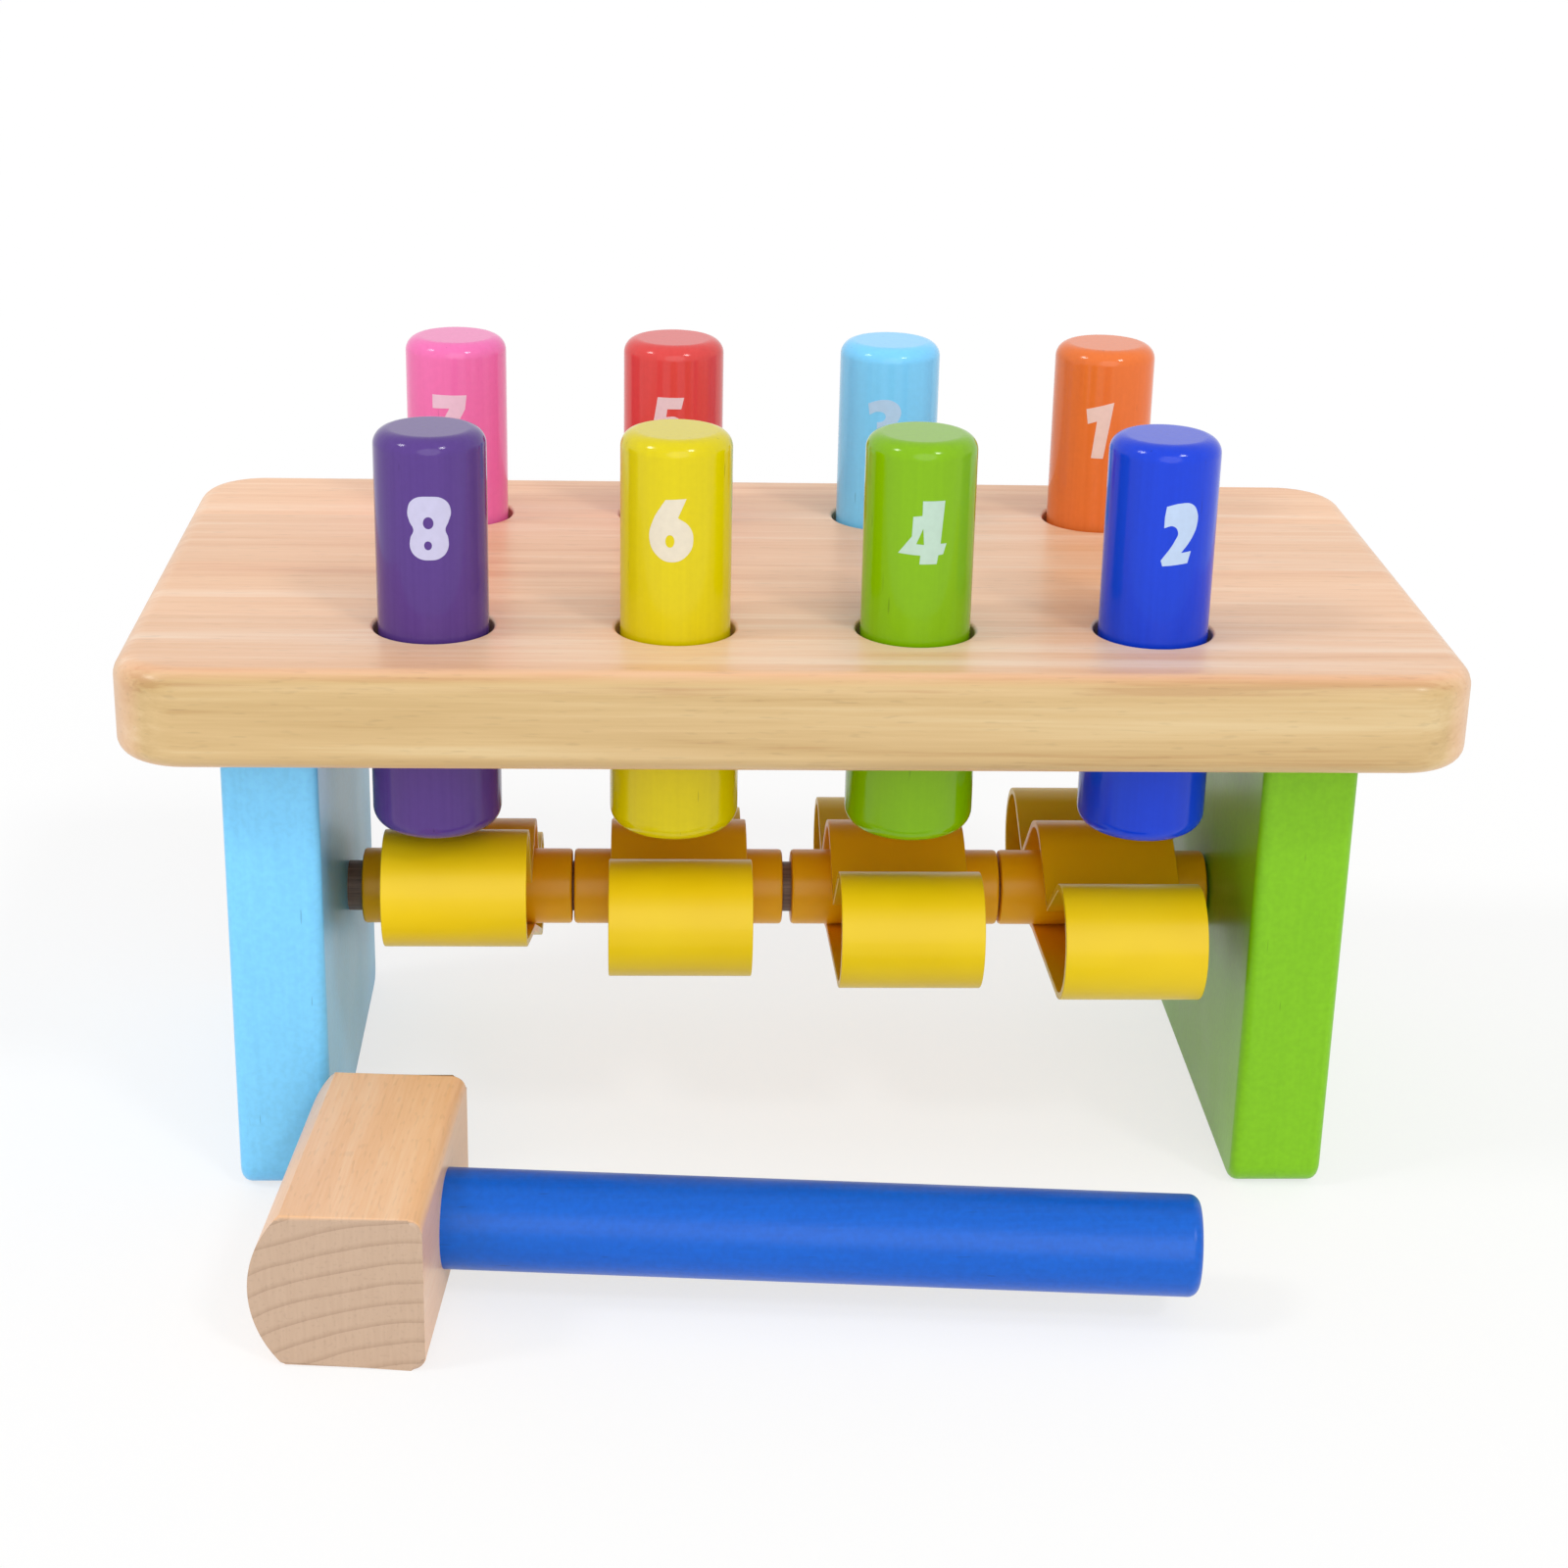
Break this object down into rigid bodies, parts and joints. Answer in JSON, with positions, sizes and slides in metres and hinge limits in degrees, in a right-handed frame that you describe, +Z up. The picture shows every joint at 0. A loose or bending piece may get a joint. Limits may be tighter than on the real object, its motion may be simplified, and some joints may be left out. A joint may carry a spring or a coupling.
{
  "type": "peg pounding bench",
  "caption": "Wooden toy bench with captive coloured pegs over plastic see-saw rockers on an axle, and a loose wooden mallet to pound the pegs down.",
  "frame": {"origin": "middle of the footprint of bench and mallet together, on the floor", "axes": "+X along the bench to the right, +Y to the back, away from the mallet, +Z up"},
  "size_m": [0.24, 0.175, 0.1465],
  "materials": {
    "board_beech": "satin clear lacquer",
    "sky_blue_lacquer": "gloss lacquer on wood",
    "leaf_green_lacquer": "gloss lacquer on wood",
    "brown_hardwood": "stained, matt",
    "dowel_beech": "bare",
    "yellow_plastic": "smooth moulded",
    "orange_lacquer": "gloss lacquer on wood",
    "royal_blue_lacquer": "gloss lacquer on wood",
    "light_blue_lacquer": "gloss lacquer on wood",
    "grass_green_lacquer": "gloss lacquer on wood",
    "red_lacquer": "gloss lacquer on wood",
    "yellow_lacquer": "gloss lacquer on wood",
    "pink_lacquer": "gloss lacquer on wood",
    "purple_lacquer": "gloss lacquer on wood",
    "mallet_beech": "satin clear lacquer",
    "blue_lacquer": "gloss lacquer on wood"
  },
  "bodies": {
    "bench": {"top_board": "board_beech", "left_leg": "sky_blue_lacquer", "right_leg": "leaf_green_lacquer", "axle": "brown_hardwood", "left_front_dowel": "dowel_beech", "left_back_dowel": "dowel_beech", "right_front_dowel": "dowel_beech", "right_back_dowel": "dowel_beech"},
    "peg_1": {"peg_1": "orange_lacquer"},
    "peg_2": {"peg_2": "royal_blue_lacquer"},
    "peg_3": {"peg_3": "light_blue_lacquer"},
    "peg_4": {"peg_4": "grass_green_lacquer"},
    "peg_5": {"peg_5": "red_lacquer"},
    "peg_6": {"peg_6": "yellow_lacquer"},
    "peg_7": {"peg_7": "pink_lacquer"},
    "peg_8": {"peg_8": "purple_lacquer"},
    "rocker_1": {"rocker_1": "yellow_plastic"},
    "rocker_2": {"rocker_2": "yellow_plastic"},
    "rocker_3": {"rocker_3": "yellow_plastic"},
    "rocker_4": {"rocker_4": "yellow_plastic"},
    "mallet": {"mallet_head": "mallet_beech", "mallet_handle": "blue_lacquer"}
  },
  "joints": [
    {"name": "peg_1_slide", "type": "slide", "parent": "bench", "child": "peg_1", "axis": [0, 0, 1], "range_m": [-0.0365, 0.0011]},
    {"name": "peg_2_slide", "type": "slide", "parent": "bench", "child": "peg_2", "axis": [0, 0, 1], "range_m": [-0.0365, 0.0011]},
    {"name": "peg_3_slide", "type": "slide", "parent": "bench", "child": "peg_3", "axis": [0, 0, 1], "range_m": [-0.0365, 0.0011]},
    {"name": "peg_4_slide", "type": "slide", "parent": "bench", "child": "peg_4", "axis": [0, 0, 1], "range_m": [-0.0365, 0.0011]},
    {"name": "peg_5_slide", "type": "slide", "parent": "bench", "child": "peg_5", "axis": [0, 0, 1], "range_m": [-0.0365, 0.0011]},
    {"name": "peg_6_slide", "type": "slide", "parent": "bench", "child": "peg_6", "axis": [0, 0, 1], "range_m": [-0.0365, 0.0011]},
    {"name": "peg_7_slide", "type": "slide", "parent": "bench", "child": "peg_7", "axis": [0, 0, 1], "range_m": [-0.0365, 0.0011]},
    {"name": "peg_8_slide", "type": "slide", "parent": "bench", "child": "peg_8", "axis": [0, 0, 1], "range_m": [-0.0365, 0.0011]},
    {"name": "rocker_1_tilt", "type": "hinge", "parent": "bench", "child": "rocker_1", "pos_m": [-0.06225, 0.02246, 0.043], "axis": [1, 0, 0], "range_deg": [-8.1, 53.1]},
    {"name": "rocker_2_tilt", "type": "hinge", "parent": "bench", "child": "rocker_2", "pos_m": [-0.02035, 0.02246, 0.043], "axis": [1, 0, 0], "range_deg": [-16.6, 44.6]},
    {"name": "rocker_3_tilt", "type": "hinge", "parent": "bench", "child": "rocker_3", "pos_m": [0.02295, 0.02246, 0.043], "axis": [1, 0, 0], "range_deg": [-20.1, 41.1]},
    {"name": "rocker_4_tilt", "type": "hinge", "parent": "bench", "child": "rocker_4", "pos_m": [0.06485, 0.02246, 0.043], "axis": [1, 0, 0], "range_deg": [-23.6, 37.6]},
    {"name": "mallet_lift", "type": "slide", "parent": "bench", "child": "mallet", "axis": [0, -0.6, 0.8], "range_m": [0, 0.12]}
  ],
  "couplings": [
    {"joint": "rocker_1_tilt", "follows": "peg_8_slide", "rad_per_m": -25.361},
    {"joint": "peg_7_slide", "follows": "peg_8_slide", "ratio": -0.030137},
    {"joint": "rocker_2_tilt", "follows": "peg_5_slide", "rad_per_m": 7.908},
    {"joint": "peg_6_slide", "follows": "peg_5_slide", "ratio": -0.030137},
    {"joint": "rocker_3_tilt", "follows": "peg_4_slide", "rad_per_m": -19.623},
    {"joint": "peg_3_slide", "follows": "peg_4_slide", "ratio": -0.030137},
    {"joint": "rocker_4_tilt", "follows": "peg_1_slide", "rad_per_m": 11.255},
    {"joint": "peg_2_slide", "follows": "peg_1_slide", "ratio": -0.030137}
  ]
}
